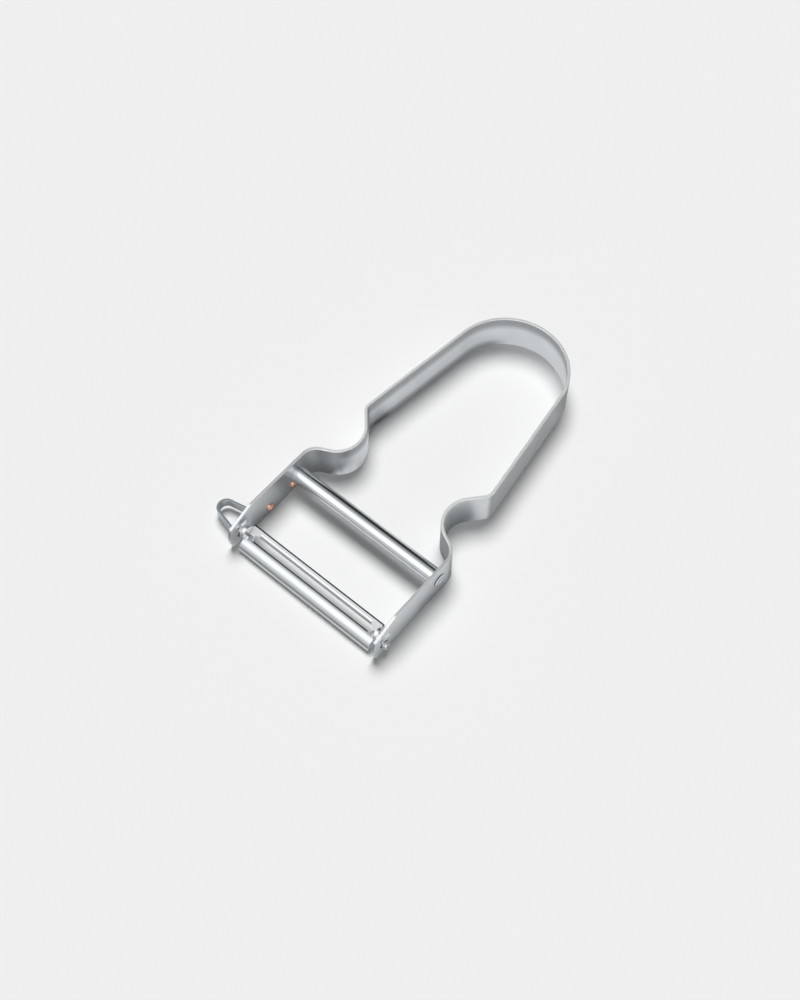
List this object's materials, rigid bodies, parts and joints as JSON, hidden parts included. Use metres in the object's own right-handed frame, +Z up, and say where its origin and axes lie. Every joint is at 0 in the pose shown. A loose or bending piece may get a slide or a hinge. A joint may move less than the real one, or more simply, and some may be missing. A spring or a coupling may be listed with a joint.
{
  "type": "vegetable peeler",
  "caption": "Y-shaped vegetable peeler: a bent metal strip handle with a round crossbar, a slotted swivel blade between its arms and a riveted loop for gouging out potato eyes.",
  "frame": {"origin": "under the middle of the bounding box, on the plane that the lower edge of the handle strip lies on", "axes": "+Y from the blade to the end of the grip loop, +Z up from the lower edge of the strip to its upper edge, +X to the arm without the eye remover"},
  "size_m": [0.0682, 0.1146, 0.013],
  "materials": {
    "handle_strip": "satin",
    "bright_rod": "polished",
    "blade_steel": "polished",
    "spring_steel": "satin",
    "rivet_copper": "polished"
  },
  "bodies": {
    "frame": {"handle": "handle_strip", "crossbar": "bright_rod", "eye_remover": "spring_steel", "eye_remover_rivet_front": "rivet_copper", "eye_remover_rivet_rear": "rivet_copper"},
    "blade": {"blade": "blade_steel"}
  },
  "joints": [
    {"name": "blade_swivel", "type": "hinge", "parent": "frame", "child": "blade", "pos_m": [0.00485, -0.05275, 0.0039], "axis": [-1, 0, 0], "range_deg": [0, 40]}
  ]
}
